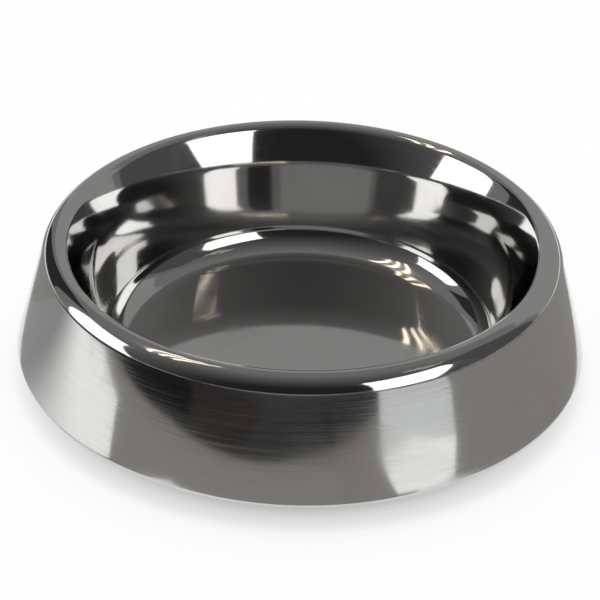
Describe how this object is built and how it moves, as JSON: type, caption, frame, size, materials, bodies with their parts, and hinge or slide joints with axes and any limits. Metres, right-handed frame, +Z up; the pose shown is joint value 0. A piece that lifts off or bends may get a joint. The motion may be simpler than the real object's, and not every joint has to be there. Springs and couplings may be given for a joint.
{
  "type": "anti-ant pet bowl",
  "caption": "Round steel feeding bowl with a smooth rolled rim and a flared skirt that hangs clear of the ground, standing on a rubber foot ring.",
  "frame": {"origin": "centre of the foot ring's resting face, on the bowl's axis", "axes": "+Z up along the bowl's axis, out of its mouth; X and Y are free, because the bowl is round"},
  "size_m": [0.2898, 0.2898, 0.0716],
  "materials": {
    "polished_steel": "mirror-polished well and rim, fine circular brushing on the skirt",
    "black_rubber": "matt moulded"
  },
  "bodies": {
    "root": {"steel_shell": "polished_steel", "foot_ring": "black_rubber"}
  },
  "joints": []
}
